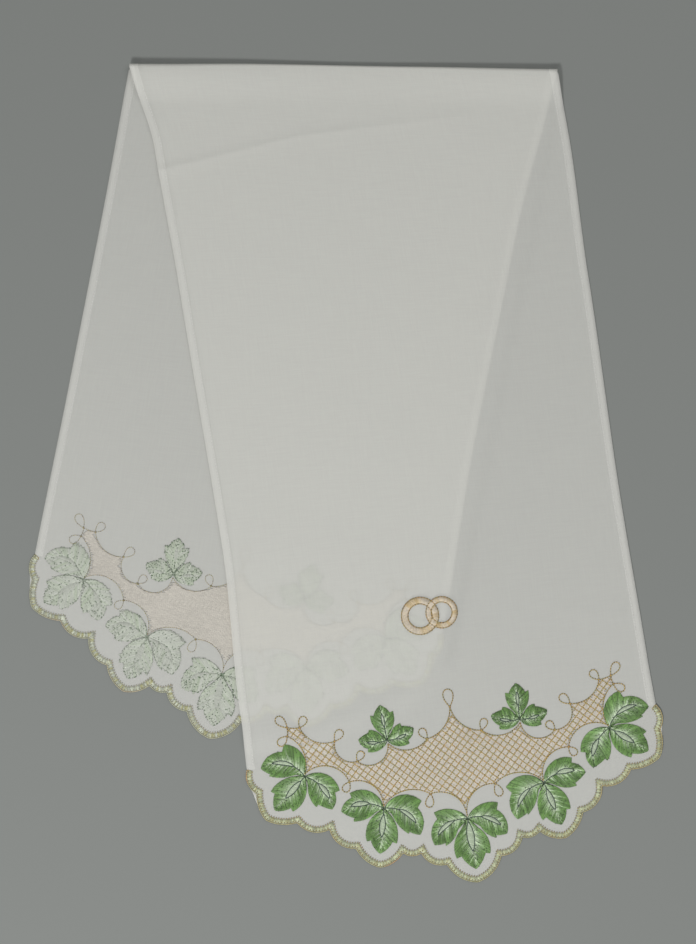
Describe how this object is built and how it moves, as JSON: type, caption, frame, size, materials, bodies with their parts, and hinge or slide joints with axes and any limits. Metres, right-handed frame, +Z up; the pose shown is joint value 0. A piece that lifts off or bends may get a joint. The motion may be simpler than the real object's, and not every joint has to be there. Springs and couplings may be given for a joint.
{
  "type": "wedding towel",
  "caption": "Long sheer white cloth towel, folded over and lying flat, with scalloped ends embroidered with green leaves, ochre lattice and joined rings.",
  "frame": {"origin": "middle of the folded towel's bounding box, on the surface it lies on", "axes": "+Z up from the surface, +Y towards the fold, +X to the right as seen from above with the fold at the top"},
  "size_m": [0.6206, 0.8011, 0.0094],
  "materials": {
    "cloth": "sheer plain weave, slightly uneven yarn, matt",
    "leaf_thread": "satin-stitched embroidery thread",
    "leaf_thread_wrong_side": "pale bobbin thread on the wrong side",
    "edging_thread": "satin-stitched edging thread",
    "edging_thread_wrong_side": "pale bobbin thread on the wrong side",
    "ring_thread": "satin-stitched gold-coloured thread"
  },
  "bodies": {
    "root": {"towel": "cloth", "edging_front": "edging_thread", "edging_back": "edging_thread_wrong_side", "tip_leaf_front": "leaf_thread", "left_corner_leaf_front": "leaf_thread", "right_corner_leaf_front": "leaf_thread", "left_side_leaf_front": "leaf_thread", "right_side_leaf_front": "leaf_thread", "left_small_leaf_front": "leaf_thread", "right_small_leaf_front": "leaf_thread", "tip_leaf_back": "leaf_thread_wrong_side", "left_corner_leaf_back": "leaf_thread_wrong_side", "right_corner_leaf_back": "leaf_thread_wrong_side", "left_side_leaf_back": "leaf_thread_wrong_side", "right_side_leaf_back": "leaf_thread_wrong_side", "left_small_leaf_back": "leaf_thread_wrong_side", "right_small_leaf_back": "leaf_thread_wrong_side", "rings_front": "ring_thread"}
  },
  "joints": []
}
